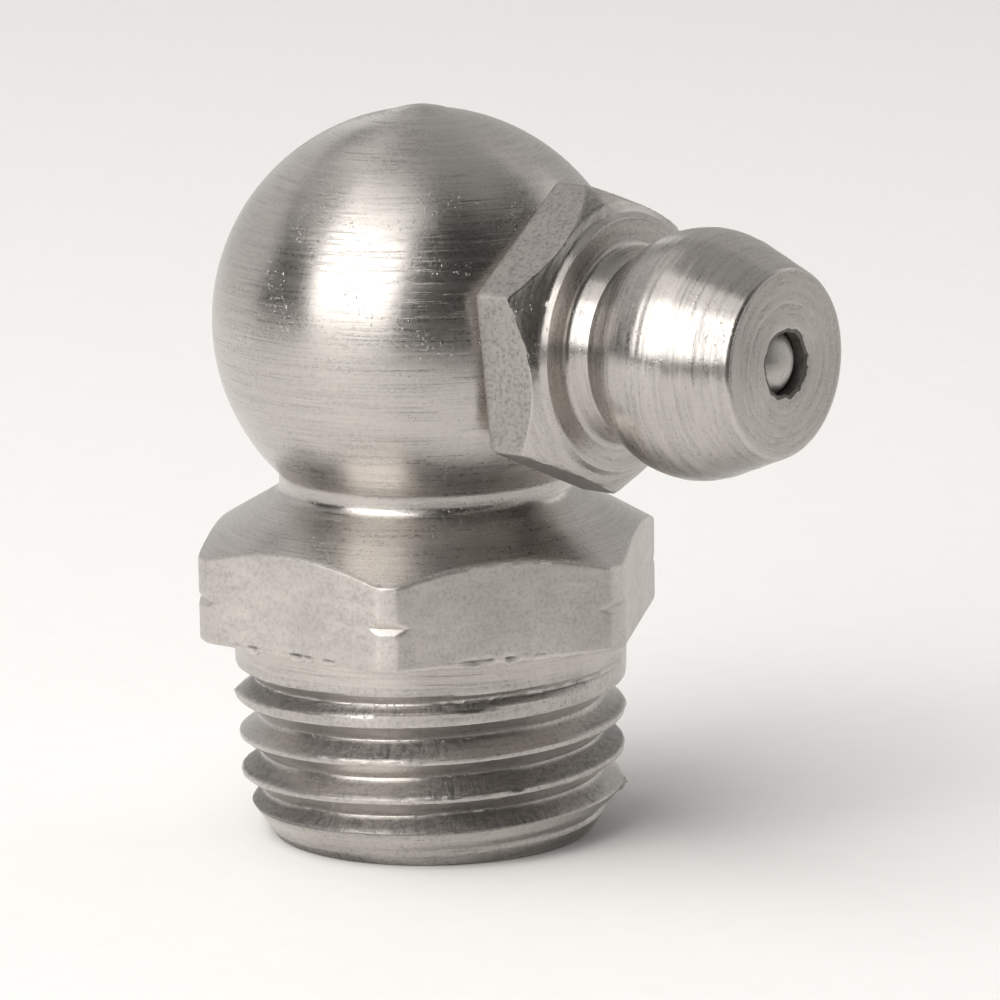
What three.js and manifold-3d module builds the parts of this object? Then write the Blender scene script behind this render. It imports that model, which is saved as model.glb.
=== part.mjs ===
// Angled grease nipple: a straight cone-head nipple screwed into the side of a ball-ended elbow.
// Units are millimetres. +Z runs up the elbow's mounting thread, from its end face to the ball, and
// +X runs out along the nipple. The origin is the centre of the mounting thread's end face.

import * as THREE from 'three';
import { mergeVertices } from 'three/addons/utils/BufferGeometryUtils.js';
import Module from 'manifold-3d';

const wasm = await Module();
wasm.setup();

// Elbow: mounting thread, M10 x 1 taper 1:16
const SHANK_LENGTH = 5.5;
const SHANK_END_RADIUS = 4.93;
const SHANK_TAPER = 1 / 32;
const SHANK_CHAMFER_RADIUS = 4.15;
const SHANK_CHAMFER_HEIGHT = 1.15;
const SHANK_THREAD = { pitch: 1, depth: 0.55, crest: 0.16, root: 0.2, phase: 0.05 };
const SHANK_THREAD_FADE = { from: 3.75, to: 4.75 };

// Elbow: hexagon, shoulder, neck and ball
const HEX_ACROSS_FLATS = 11;
const HEX_CORNER_RADIUS = 6.2;
const HEX_CORNER_TOP = 7.68;
const HEX_BOTTOM_CHAMFER = 0.12;
const SHOULDER_ANGLE = THREE.MathUtils.degToRad(30);
const GROOVE_HEIGHT = 6.62;
const GROOVE_ROOT_RADIUS = 6.09;
const GROOVE_SLOPE = 0.73;
const NECK_RADIUS = 3.83;
const NECK_FILLET = 0.3;
const BALL_RADIUS = 5.45;
const BALL_HEIGHT = 13.39;
const PIP_RADIUS = 0.95;
const PIP_HEIGHT = 0.08;

// Elbow: grease passage and tapped side hole
const PASSAGE_RADIUS = 1.5;
const PASSAGE_COUNTERSINK = 0.25;
const TAP_DRILL_RADIUS = 2.5;
const TAP_HOLE_BOTTOM = -1.3;
const SPOT_FACE = 4.56;
const SPOT_FACE_RADIUS = 3.4;
const DRILL_POINT_SLOPE = Math.tan(THREE.MathUtils.degToRad(31));

// Nipple: M6 x 1 stem, hexagon, neck and cone head, as distances along +X
const STEM_RADIUS = 2.97;
const STEM_START = 1.7;
const STEM_THREAD = { pitch: 1, depth: 0.5, crest: 0.2, root: 0.22, phase: 0.3 };
const THREAD_CLEARANCE = 0.04;
const FLANGE_ACROSS_FLATS = 7;
const FLANGE_ROLL = THREE.MathUtils.degToRad(6.7);
const FLANGE_BACK = 4.66;
const FLANGE_CORNER_FRONT = 5.74;
const FLANGE_FRONT_RADIUS = 3.2;
const FLANGE_BACK_CHAMFER = 0.12;
const NIPPLE_NECK_FILLET = 0.2;
const NIPPLE_NECK_RADIUS = 2.32;
const HEAD_RADIUS = 3.15;
const HEAD_BACK = [
  [NIPPLE_NECK_RADIUS, 7],
  [2.74, 7.55],
  [3, 8.15],
  [HEAD_RADIUS, 9.1],
  [3.12, 9.55],
];
const FACE_RADIUS = 2.3;
const FACE = 11.5;
const FACE_CHAMFER = 0.08;

// Nipple: bore, check ball and spring
const MOUTH_RADIUS = 0.87;
const SEAT_DEPTH = 0.45;
const CHAMBER_RADIUS = 1.2;
const LIP_RADIUS = 0.72;
const LIP_LENGTH = 0.3;
const CHECK_BALL_RADIUS = 1.06;
const CHECK_BALL_GAP = 0.01;
const SPRING_WIRE = 0.24;
const SPRING_RADIUS = 0.78;
const SPRING_TURNS = 9;
const SPRING_GAP = 0.03;

// Facets
const TURN_SEGMENTS = 48;
const SMALL_SEGMENTS = 32;
const CHECK_BALL_SEGMENTS = 28;
const BALL_STEPS = 18;
const FILLET_STEPS = 4;
const HEAD_BACK_STEPS = 12;
const CHECK_BALL_STEPS = 14;
const WIRE_STEPS = 3;
const COIL_STEPS = 14;

// How far a cutting or joining solid runs past the face that it crosses, and into its neighbour
const PAST = 1;
const INTO = 0.4;
const MERGE_TOLERANCE = 1e-5;

const STEEL = new THREE.MeshStandardMaterial({ color: 0xa9a49c, roughness: 0.32, metalness: 1 });
const NIPPLE_STEEL = new THREE.MeshStandardMaterial({ color: 0xb2ada5, roughness: 0.28, metalness: 1 });
const BALL_STEEL = new THREE.MeshStandardMaterial({ color: 0xc4c2be, roughness: 0.12, metalness: 1 });
const SPRING_STEEL = new THREE.MeshStandardMaterial({ color: 0x8d8a86, roughness: 0.4, metalness: 1 });

// Solids and meshes

function toSolid(geometry) {
  const bare = geometry.clone();
  for (const name of Object.keys(bare.attributes)) {
    if (name !== 'position') bare.deleteAttribute(name);
  }
  const merged = mergeVertices(bare, MERGE_TOLERANCE);
  const mesh = new wasm.Mesh({
    numProp: 3,
    vertProperties: new Float32Array(merged.attributes.position.array),
    triVerts: new Uint32Array(merged.index.array),
  });
  return new wasm.Manifold(mesh);
}

function toGeometry(solid) {
  const mesh = solid.getMesh();
  const geometry = new THREE.BufferGeometry();
  geometry.setAttribute('position', new THREE.BufferAttribute(mesh.vertProperties, 3));
  geometry.setIndex(new THREE.BufferAttribute(mesh.triVerts, 1));
  geometry.computeVertexNormals();
  return geometry;
}

function piece(name, solid, material) {
  const mesh = new THREE.Mesh(toGeometry(solid), material);
  mesh.name = name;
  return mesh;
}

// A turned solid about Z, from [radius, height] points that run from the axis up and back to it.
function turned(points, segments = TURN_SEGMENTS) {
  const outline = points.map(([radius, height]) => new THREE.Vector2(radius, height));
  const geometry = new THREE.LatheGeometry(outline, segments);
  geometry.rotateX(Math.PI / 2);
  return toSolid(geometry);
}

// Points on an arc in a turned outline, from one angle to the other, both ends included.
function arc(centreRadius, centreHeight, radius, from, to, steps) {
  const points = [];
  for (let i = 0; i <= steps; i += 1) {
    const angle = from + ((to - from) * i) / steps;
    points.push([centreRadius + radius * Math.cos(angle), centreHeight + radius * Math.sin(angle)]);
  }
  return points;
}

// A hexagonal prism along Z with a corner on +X, from one height to another.
function hexPrism(acrossFlats, bottom, top) {
  const cornerRadius = acrossFlats / Math.sqrt(3);
  const outline = new THREE.Shape();
  for (let i = 0; i < 6; i += 1) {
    const angle = (i * Math.PI) / 3;
    const x = cornerRadius * Math.cos(angle);
    const y = cornerRadius * Math.sin(angle);
    if (i === 0) outline.moveTo(x, y);
    else outline.lineTo(x, y);
  }
  const geometry = new THREE.ExtrudeGeometry(outline, { depth: top - bottom, bevelEnabled: false });
  geometry.translate(0, 0, bottom);
  return toSolid(geometry);
}

// A rod along Z with a right-hand V thread. The four points of each ridge repeat every pitch and
// follow the helix, so neighbouring turns share an edge. share(z) scales the groove's depth.
function threadedRod({ thread, bottom, top, radiusAt, share = () => 1, segments }) {
  const { pitch, depth, crest, root, phase } = thread;
  const flank = (pitch - crest - root) / 2;
  const ridge = [
    [-crest / 2, 0],
    [crest / 2, 0],
    [crest / 2 + flank, depth],
    [crest / 2 + flank + root, depth],
  ];
  const firstTurn = Math.floor((bottom - phase) / pitch);
  const turns = Math.ceil((top - bottom) / pitch) + 1;
  const positions = [];
  for (let i = 0; i <= turns * segments; i += 1) {
    const angle = (i / segments) * 2 * Math.PI;
    for (const [offset, cut] of ridge) {
      const z = phase + (firstTurn + i / segments) * pitch + offset;
      const radius = radiusAt(z) - cut * share(z);
      positions.push(radius * Math.cos(angle), radius * Math.sin(angle), z);
    }
  }
  const rows = ridge.length;
  const vertex = (i, k) => (k < rows ? i * rows + k : (i + segments) * rows + k - rows);
  const index = [];
  const last = (turns - 1) * segments;
  for (let i = 0; i < last; i += 1) {
    for (let k = 0; k < rows; k += 1) {
      const [a, b, c, d] = [vertex(i, k), vertex(i + 1, k), vertex(i + 1, k + 1), vertex(i, k + 1)];
      index.push(a, b, c, a, c, d);
    }
  }
  const cap = (start, faceUp) => {
    const centre = positions.length / 3;
    positions.push(0, 0, positions[vertex(start + segments / 2, 0) * 3 + 2]);
    const rim = [];
    for (let i = 0; i <= segments; i += 1) rim.push(vertex(start + i, 0));
    for (let k = rows - 1; k > 0; k -= 1) rim.push(vertex(start, k));
    rim.forEach((from, n) => {
      const to = rim[(n + 1) % rim.length];
      if (faceUp) index.push(centre, from, to);
      else index.push(centre, to, from);
    });
  };
  cap(0, false);
  cap(last, true);
  const geometry = new THREE.BufferGeometry();
  geometry.setAttribute('position', new THREE.Float32BufferAttribute(positions, 3));
  geometry.setIndex(index);
  return toSolid(geometry);
}

// Turns a solid made along Z so that it lies along X through the ball's centre.
function alongNipple(solid) {
  return solid.rotate([0, 90, 0]).translate([0, 0, BALL_HEIGHT]);
}

// Elbow

function elbowOutside() {
  const shoulder = Math.tan(SHOULDER_ANGLE);
  const filletCentre = NECK_RADIUS + NECK_FILLET;
  const coneHeight = (radius) => HEX_CORNER_TOP + (HEX_CORNER_RADIUS - radius) * shoulder;
  const filletHeight = coneHeight(filletCentre) + NECK_FILLET / Math.cos(SHOULDER_ANGLE);
  const filletStart = -Math.PI / 2 - SHOULDER_ANGLE;
  const neckTop = -Math.acos(NECK_RADIUS / BALL_RADIUS);
  const pipBase = Math.acos(PIP_RADIUS / BALL_RADIUS);
  const undersideRadius = HEX_CORNER_RADIUS - HEX_BOTTOM_CHAMFER * 2;
  return turned([
    [0, SHANK_LENGTH],
    [undersideRadius, SHANK_LENGTH],
    [HEX_CORNER_RADIUS, SHANK_LENGTH + HEX_BOTTOM_CHAMFER],
    [HEX_CORNER_RADIUS, HEX_CORNER_TOP],
    ...arc(filletCentre, filletHeight, NECK_FILLET, filletStart, -Math.PI, FILLET_STEPS),
    ...arc(0, BALL_HEIGHT, BALL_RADIUS, neckTop, pipBase, BALL_STEPS),
    [PIP_RADIUS - PIP_HEIGHT, BALL_HEIGHT + BALL_RADIUS + PIP_HEIGHT],
    [0, BALL_HEIGHT + BALL_RADIUS + PIP_HEIGHT],
  ]);
}

// A V groove that only reaches the hexagon's corners.
function cornerGroove() {
  return turned([
    [GROOVE_ROOT_RADIUS, GROOVE_HEIGHT],
    [GROOVE_ROOT_RADIUS + PAST * GROOVE_SLOPE, GROOVE_HEIGHT - PAST],
    [GROOVE_ROOT_RADIUS + PAST * GROOVE_SLOPE, GROOVE_HEIGHT + PAST],
    [GROOVE_ROOT_RADIUS, GROOVE_HEIGHT],
  ]);
}

function shank() {
  const { from, to } = SHANK_THREAD_FADE;
  const rod = threadedRod({
    thread: SHANK_THREAD,
    bottom: -PAST,
    top: SHANK_LENGTH + PAST,
    radiusAt: (z) => SHANK_END_RADIUS + z * SHANK_TAPER,
    share: (z) => THREE.MathUtils.clamp((to - z) / (to - from), 0, 1),
    segments: TURN_SEGMENTS,
  });
  const envelope = turned([
    [0, 0],
    [SHANK_CHAMFER_RADIUS, 0],
    [SHANK_END_RADIUS, SHANK_CHAMFER_HEIGHT],
    [SHANK_END_RADIUS + INTO, SHANK_CHAMFER_HEIGHT + INTO],
    [SHANK_END_RADIUS + INTO, SHANK_LENGTH + INTO],
    [0, SHANK_LENGTH + INTO],
  ]);
  return rod.intersect(envelope);
}

function passage() {
  return turned(
    [
      [0, -PAST],
      [PASSAGE_RADIUS + PASSAGE_COUNTERSINK + PAST, -PAST],
      [PASSAGE_RADIUS, PASSAGE_COUNTERSINK],
      [PASSAGE_RADIUS, BALL_HEIGHT],
      [0, BALL_HEIGHT + PASSAGE_RADIUS * DRILL_POINT_SLOPE],
    ],
    SMALL_SEGMENTS,
  );
}

function stemThread(bottom, top, growth) {
  return threadedRod({
    thread: STEM_THREAD,
    bottom,
    top,
    radiusAt: () => STEM_RADIUS + growth,
    segments: SMALL_SEGMENTS,
  });
}

function tappedHole() {
  const drill = turned(
    [
      [0, TAP_HOLE_BOTTOM - TAP_DRILL_RADIUS * DRILL_POINT_SLOPE],
      [TAP_DRILL_RADIUS, TAP_HOLE_BOTTOM],
      [TAP_DRILL_RADIUS, SPOT_FACE],
      [SPOT_FACE_RADIUS, SPOT_FACE],
      [SPOT_FACE_RADIUS, BALL_RADIUS + PAST],
      [0, BALL_RADIUS + PAST],
    ],
    SMALL_SEGMENTS,
  );
  const thread = stemThread(STEM_START - 2 * PAST, BALL_RADIUS + PAST, THREAD_CLEARANCE);
  return alongNipple(drill.add(thread));
}

function makeElbow() {
  const top = BALL_HEIGHT + BALL_RADIUS + PAST;
  const hexagon = hexPrism(HEX_ACROSS_FLATS, SHANK_LENGTH - PAST, top);
  return elbowOutside()
    .intersect(hexagon)
    .subtract(cornerGroove())
    .add(shank())
    .subtract(passage())
    .subtract(tappedHole());
}

// Nipple

function flange() {
  const cornerRadius = FLANGE_ACROSS_FLATS / Math.sqrt(3);
  return turned([
    [0, FLANGE_BACK],
    [cornerRadius - 2 * FLANGE_BACK_CHAMFER, FLANGE_BACK],
    [cornerRadius, FLANGE_BACK + FLANGE_BACK_CHAMFER],
    [cornerRadius, FLANGE_CORNER_FRONT],
    [FLANGE_FRONT_RADIUS, flangeFront()],
    [0, flangeFront()],
  ])
    .intersect(hexPrism(FLANGE_ACROSS_FLATS, FLANGE_BACK - PAST, flangeFront() + PAST))
    .rotate([0, 0, THREE.MathUtils.radToDeg(FLANGE_ROLL)]);
}

// The flange's corners are chamfered at 45 degrees down to its front ring.
function flangeFront() {
  return FLANGE_CORNER_FRONT + FLANGE_ACROSS_FLATS / Math.sqrt(3) - FLANGE_FRONT_RADIUS;
}

function neckAndHead() {
  const back = HEAD_BACK.map(([radius, along]) => new THREE.Vector2(radius, along));
  const curve = new THREE.SplineCurve(back).getPoints(HEAD_BACK_STEPS);
  return turned([
    [0, FLANGE_BACK + INTO],
    [NIPPLE_NECK_RADIUS, FLANGE_BACK + INTO],
    [NIPPLE_NECK_RADIUS + NIPPLE_NECK_FILLET, flangeFront()],
    [NIPPLE_NECK_RADIUS, flangeFront() + NIPPLE_NECK_FILLET],
    ...curve.map((point) => [point.x, point.y]),
    [FACE_RADIUS + FACE_CHAMFER, FACE - FACE_CHAMFER],
    [FACE_RADIUS, FACE],
    [0, FACE],
  ]);
}

// The stem's first thread is chamfered at 45 degrees from the thread's root.
function stem() {
  const clear = STEM_RADIUS + INTO;
  const envelope = turned([
    [0, STEM_START],
    [STEM_RADIUS - STEM_THREAD.depth, STEM_START],
    [clear, STEM_START + STEM_THREAD.depth + INTO],
    [clear, FLANGE_BACK + INTO],
    [0, FLANGE_BACK + INTO],
  ]);
  return stemThread(STEM_START - PAST, FLANGE_BACK + PAST + INTO, 0).intersect(envelope);
}

function bore() {
  return turned(
    [
      [0, STEM_START - PAST],
      [LIP_RADIUS, STEM_START - PAST],
      [LIP_RADIUS, STEM_START + LIP_LENGTH],
      [CHAMBER_RADIUS, STEM_START + LIP_LENGTH],
      [CHAMBER_RADIUS, FACE - SEAT_DEPTH - (CHAMBER_RADIUS - MOUTH_RADIUS)],
      [MOUTH_RADIUS, FACE - SEAT_DEPTH],
      [MOUTH_RADIUS, FACE + PAST],
      [0, FACE + PAST],
    ],
    SMALL_SEGMENTS,
  );
}

function makeNipple() {
  return alongNipple(flange().add(neckAndHead()).add(stem()).subtract(bore()));
}

// The ball rests on the cone between the mouth and the chamber, which slopes at 45 degrees.
function checkBallCentre() {
  const reach = (CHECK_BALL_RADIUS + CHECK_BALL_GAP) * Math.SQRT2;
  return FACE - SEAT_DEPTH + MOUTH_RADIUS - reach;
}

function makeCheckBall() {
  const half = Math.PI / 2;
  const outline = arc(0, checkBallCentre(), CHECK_BALL_RADIUS, -half, half, CHECK_BALL_STEPS);
  return alongNipple(turned(outline, CHECK_BALL_SEGMENTS));
}

// The spring is an open coil from the rolled-in lip to the back of the ball.
class Coil extends THREE.Curve {
  constructor(start, end) {
    super();
    this.start = start;
    this.end = end;
  }

  getPoint(t) {
    const angle = t * SPRING_TURNS * 2 * Math.PI;
    const along = THREE.MathUtils.lerp(this.start, this.end, t);
    return new THREE.Vector3(along, SPRING_RADIUS * Math.cos(angle), SPRING_RADIUS * Math.sin(angle));
  }
}

function makeSpring() {
  const wire = SPRING_WIRE / 2;
  const touch = Math.sqrt((CHECK_BALL_RADIUS + wire + SPRING_GAP) ** 2 - SPRING_RADIUS ** 2);
  const start = STEM_START + LIP_LENGTH + wire + SPRING_GAP;
  const end = checkBallCentre() - touch;
  const section = new THREE.Shape();
  section.absarc(0, 0, wire, 0, 2 * Math.PI);
  const geometry = new THREE.ExtrudeGeometry(section, {
    curveSegments: WIRE_STEPS,
    steps: SPRING_TURNS * COIL_STEPS,
    extrudePath: new Coil(start, end),
  });
  return toSolid(geometry).translate([0, 0, BALL_HEIGHT]);
}

const model = new THREE.Group();
model.add(piece('elbow_body', makeElbow(), STEEL));
model.add(piece('nipple_body', makeNipple(), NIPPLE_STEEL));
model.add(piece('check_ball', makeCheckBall(), BALL_STEEL));
model.add(piece('check_spring', makeSpring(), SPRING_STEEL));

export default model;
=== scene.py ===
"""Angled grease nipple: a cone-head nipple screwed into a ball-ended elbow, in turned steel.

Lengths inside the builders are in millimetres and are turned into metres where a mesh is made.
"""

import math

import bmesh
import bpy
import numpy as np
from mathutils import Matrix, Vector, noise


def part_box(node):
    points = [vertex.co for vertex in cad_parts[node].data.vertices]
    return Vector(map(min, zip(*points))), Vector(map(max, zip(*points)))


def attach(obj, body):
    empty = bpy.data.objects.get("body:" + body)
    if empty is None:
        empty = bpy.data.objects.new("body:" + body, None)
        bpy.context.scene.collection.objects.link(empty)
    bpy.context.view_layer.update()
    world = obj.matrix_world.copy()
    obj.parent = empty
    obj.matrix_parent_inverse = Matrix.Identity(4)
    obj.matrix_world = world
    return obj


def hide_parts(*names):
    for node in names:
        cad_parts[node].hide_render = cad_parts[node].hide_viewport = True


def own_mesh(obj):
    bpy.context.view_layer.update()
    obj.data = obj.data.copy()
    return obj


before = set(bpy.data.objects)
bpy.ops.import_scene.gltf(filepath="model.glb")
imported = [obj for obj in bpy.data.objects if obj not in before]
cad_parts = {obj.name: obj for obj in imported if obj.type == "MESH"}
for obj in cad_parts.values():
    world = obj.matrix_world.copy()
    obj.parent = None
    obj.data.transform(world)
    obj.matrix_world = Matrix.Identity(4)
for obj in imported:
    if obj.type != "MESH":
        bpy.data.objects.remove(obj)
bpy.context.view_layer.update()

MM = 0.001
TAU = 2 * math.pi

# ---------------------------------------------------------------- sizes, from the frame where it holds them

elbow_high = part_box("elbow_body")[1] / MM
nipple_low, nipple_high = (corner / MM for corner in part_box("nipple_body"))
check_low, check_high = (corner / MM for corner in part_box("check_ball"))

# Elbow, as radii about its own axis and heights above the thread's end face
SHANK_LENGTH = 5.5
SHANK_END_RADIUS = 4.93
SHANK_TAPER = 1 / 32
LEAD_IN_RADIUS = 4.15
LEAD_IN_HEIGHT = 1.15
SHANK_THREAD = {"pitch": 1.0, "depth": 0.55, "crest": 0.12, "root": 0.16, "phase": 0.05}
CREST_SOFTNESS = 0.12
ROOT_SOFTNESS = 0.34
THREAD_START = 0.03
THREAD_RUN_OUT = (4.1, 4.65)
THREAD_TEAR = 0.02
# Burrs on the crests: degrees round the axis, height, and how far each stands out
TORN_CRESTS = (
    (-139.5, 3.8, 0.08),
    (-134.0, 3.72, 0.05),
    (39.0, 1.04, 0.19),
    (34.0, 1.0, 0.12),
    (41.0, 3.1, 0.05),
)
TORN_CREST_DEGREES = 3.4
TORN_CREST_HEIGHT = 0.17
COLLAR_START = 4.85
COLLAR_FILLET = 0.08
HEX_HALF_FLATS = elbow_high.y
HEX_CORNER_RADIUS = elbow_high.x
HEX_CORNER_TOP = 7.68
HEX_UNDERSIDE_INSET = 0.1
# Burred stretches of the hexagon's lower edge: degrees round the axis, and degrees to each side
UNDER_BURRS = ((-94.0, 25.0), (-30.0, 18.0), (62.0, 16.0), (150.0, 12.0))
# Rows of that edge, upwards: how far inside the outline, what a full burr adds to it, height above
# the underside, what a full burr adds to it, wear, and what a full burr adds to it. A full burr
# lightens its lip, partly a painted highlight, and darkens the recess above it, torn steel and
# painted shade.
HEX_LOWER_EDGE = (
    (0.08, 0.0, 0.0, -0.09, 0.5, 0.0),
    (0.03, -0.01, 0.02, -0.08, 0.2, 0.6),
    (0.01, 0.01, 0.06, 0.0, 0.2, 0.0),
    (0.0, 0.05, 0.1, 0.0, 0.0, -1.0),
    (0.0, 0.03, 0.13, 0.0, 0.0, -1.0),
    (0.0, 0.0, 0.17, 0.0, 0.0, 0.0),
)
HEX_CORNER_SOFTNESS = 0.03
SHOULDER_LEAN = math.radians(30)
SHOULDER_SLOPE = math.tan(SHOULDER_LEAN)
GROOVE_HEIGHT = 6.62
GROOVE_ROOT_RADIUS = 6.09
GROOVE_SLOPE = 0.73
GROOVE_HALF_WIDTH = 0.22
NECK_RADIUS = 3.83
NECK_FILLET = 0.3
BALL_HEIGHT = (check_low.z + check_high.z) / 2
PIP_RADIUS = 0.88
PIP_HEIGHT = 0.08
BALL_RADIUS = elbow_high.z - PIP_HEIGHT - BALL_HEIGHT
RING_RADIUS = 1.53
# Scribed rings round the pip: radians of latitude above RING_RADIUS, depth, and radians of width
SCRIBED_RINGS = ((0.0, 0.012, 0.007), (0.05, 0.006, 0.006))
PASSAGE_RADIUS = 1.5
COUNTERSINK = 0.25
TAP_DRILL_RADIUS = 2.5
TAP_HOLE_BOTTOM = -1.3
SPOT_FACE = 4.56
SPOT_FACE_RADIUS = 3.4
DRILL_POINT_SLOPE = math.tan(math.radians(31))

# Nipple, as radii about its own axis and distances along +X
STEM_START = nipple_low.x
STEM_RADIUS = 2.97
STEM_THREAD = {"pitch": 1.0, "depth": 0.5, "crest": 0.2, "root": 0.22, "phase": 0.3}
THREAD_CLEARANCE = 0.04
FLANGE_HALF_FLATS = 3.5
FLANGE_CORNER_RADIUS = FLANGE_HALF_FLATS / math.cos(math.radians(30))
FLANGE_CORNER = math.radians(36.7)
FLANGE_BACK = 4.66
FLANGE_BACK_CHAMFER = 0.12
FLANGE_CORNER_FRONT = 5.74
FLANGE_FRONT_RADIUS = 3.2
FLANGE_EDGE_INSET = 0.022
# The hollow in the flange's front cone: distances outside its front radius, and the depth at each
FLANGE_HOLLOW = ((0.0, 0.1, 0.32), (0.0, 0.09, 0.0))
FLANGE_FRONT = FLANGE_CORNER_FRONT + FLANGE_CORNER_RADIUS - FLANGE_FRONT_RADIUS
NIPPLE_NECK_RADIUS = 2.32
NIPPLE_NECK_FILLET = 0.2
NECK_LEAN = 0.34
HEAD_BACK = (
    (NIPPLE_NECK_RADIUS, 7.14),
    (2.41, 7.34),
    (2.69, 7.68),
    (2.98, 8.17),
    (3.13, 8.8),
    (3.13, 9.35),
    (3.0, 9.9),
)
FACE = nipple_high.x
FACE_RADIUS = 2.3
FACE_CHAMFER = 0.08
MOUTH_RADIUS = 0.87
MOUTH_LIP_RADIUS = 0.8
SEAT_DEPTH = 0.45
CHAMBER_RADIUS = 1.2
LIP_RADIUS = 0.72
LIP_LENGTH = 0.3

# Check valve
CHECK_RADIUS = (check_high.z - check_low.z) / 2
CHECK_CENTRE = check_high.x - CHECK_RADIUS
WIRE = 0.24
WIRE_SIDES = 14
WIRE_MARK_STEP = 0.12
SPRING_RADIUS = 0.78
SPRING_GAP = 0.03
SPRING_CLOSED_TURNS = 1.25
SPRING_OPEN_TURNS = 8
SPRING_TURN_STEPS = 40
SPRING_CLOSED_PITCH = WIRE + 0.01

# ---------------------------------------------------------------- meshes that turn about an axis

UP = (Vector((1, 0, 0)), Vector((0, 1, 0)), Vector((0, 0, 1)), Vector((0, 0, 0)))
ALONG_NIPPLE = (Vector((0, 1, 0)), Vector((0, 0, 1)), Vector((1, 0, 0)), Vector((0, 0, BALL_HEIGHT)))
WELD = 2e-7
# How far the rows on the two sides of a sharp edge stand off it
BEVEL = 0.02
ROUND_COLUMNS = 96
HEX_STEP = math.radians(60)
# Degrees between faces from which an edge stays sharp
SHARP_ANGLE = 32
SHARP_WIRE_ANGLE = 40


class Turning:
    """Rows of points round an axis. Each row has a radius and a height for every column, the
    distance along the outline that tool marks follow, the wear of its edges and its finish. The
    wear also carries painted highlights on the thread's crests and the hexagon's burred lip, and
    painted shade in the recess above that lip; the bore's finish is darkened with painted shade."""

    def __init__(self, angles):
        self.angles = np.append(angles, angles[0] + TAU)
        self.radius = []
        self.height = []
        self.along = []
        self.wear = []
        self.finish = []

    def add(self, radius, height, finish, along=None, wear=0.0):
        shape = np.zeros(len(self.angles))
        self.radius.append(shape + radius)
        self.height.append(shape + height)
        self.along.append(shape + (height if along is None else along))
        self.wear.append(shape + wear)
        self.finish.append(finish)

    def mesh(self, name, axes, materials):
        """A welded mesh. A face takes the finish of the row that it ends at."""
        e1, e2, e3, origin = (np.array(a) for a in axes)
        radius = np.array(self.radius)
        height = np.array(self.height)
        cos, sin = np.cos(self.angles), np.sin(self.angles)
        points = (
            origin
            + (radius * cos)[..., None] * e1
            + (radius * sin)[..., None] * e2
            + height[..., None] * e3
        ) * MM
        rows, columns = radius.shape
        index = np.arange(rows * columns).reshape(rows, columns)
        quads = np.stack(
            [index[:-1, :-1], index[:-1, 1:], index[1:, 1:], index[1:, :-1]], axis=-1
        ).reshape(-1, 4)
        mesh = bpy.data.meshes.new(name)
        mesh.from_pydata(points.reshape(-1, 3).tolist(), [], quads.tolist())
        turn = mesh.attributes.new("turn", "FLOAT_VECTOR", "POINT")
        marks = np.stack([np.broadcast_to(cos, radius.shape), np.broadcast_to(sin, radius.shape),
                          np.array(self.along)], axis=-1)
        turn.data.foreach_set("vector", marks.astype(np.float32).ravel())
        wear = mesh.attributes.new("wear", "FLOAT", "POINT")
        wear.data.foreach_set("value", np.array(self.wear, np.float32).ravel())
        finishes = np.repeat(np.array(self.finish[1:], np.int32), columns - 1)
        mesh.polygons.foreach_set("material_index", finishes)
        for material in materials:
            mesh.materials.append(material)
        weld(mesh)
        return mesh


def weld(mesh):
    bm = bmesh.new()
    bm.from_mesh(mesh)
    bmesh.ops.remove_doubles(bm, verts=bm.verts, dist=WELD)
    bmesh.ops.dissolve_degenerate(bm, edges=bm.edges, dist=WELD)
    bmesh.ops.recalc_face_normals(bm, faces=bm.faces)
    bm.to_mesh(mesh)
    bm.free()


def smooth(mesh, angle=SHARP_ANGLE):
    mesh.shade_smooth()
    mesh.set_sharp_from_angle(angle=math.radians(angle))


def place(name, mesh, body, slot, *nodes):
    obj = bpy.data.objects.new(name, mesh)
    bpy.context.scene.collection.objects.link(obj)
    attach(obj, body)
    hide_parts(*nodes)
    return obj


def ragged(angles, height, frequency, seed):
    """Smooth noise round a circle, about -1 to 1, that joins up where the circle closes."""
    height = np.zeros(len(angles)) + height
    reach = frequency / TAU
    return np.array([
        2 * noise.noise(Vector((reach * math.cos(a), reach * math.sin(a), h * frequency / 8 + seed)))
        for a, h in zip(angles, height)
    ])


def line_noise(place_on_line, frequency, *seeds):
    """Smooth noise along a line, about -0.5 to 0.5. The two seeds pick the line."""
    return noise.noise(Vector((place_on_line * frequency, *seeds)))


def away_from(angles, degrees):
    """How far round from one direction each angle is, from -180 to 180 degrees."""
    return (np.degrees(angles) - degrees + 180) % 360 - 180


def round_columns():
    return np.linspace(0, TAU, ROUND_COLUMNS + 1)[:-1]


def hexagon(angles, corner, half_flats):
    """The radius of a hexagon's outline at each angle."""
    off = (angles - corner + HEX_STEP / 2) % HEX_STEP - HEX_STEP / 2
    return half_flats / np.cos(HEX_STEP / 2 - np.abs(off))


def hex_columns(corner, close, wide, near):
    """Angles round the axis from a corner on. They are `close` degrees apart within `near` degrees
    of each corner and about `wide` degrees apart between those stretches."""
    close, wide, near = (math.radians(degrees) for degrees in (close, wide, near))
    edge = np.arange(0, near, close)
    middle = np.linspace(near, HEX_STEP - near, round((HEX_STEP - 2 * near) / wide) + 1)
    sector = np.concatenate([edge, middle, HEX_STEP - edge[:0:-1]])
    return np.concatenate([corner + k * HEX_STEP + sector for k in range(6)])


def soft_min(a, b, width):
    """The smaller of two radii, with the corner between them rounded over about `width`."""
    return (a + b - np.sqrt((a - b) ** 2 + width**2)) / 2


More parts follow.
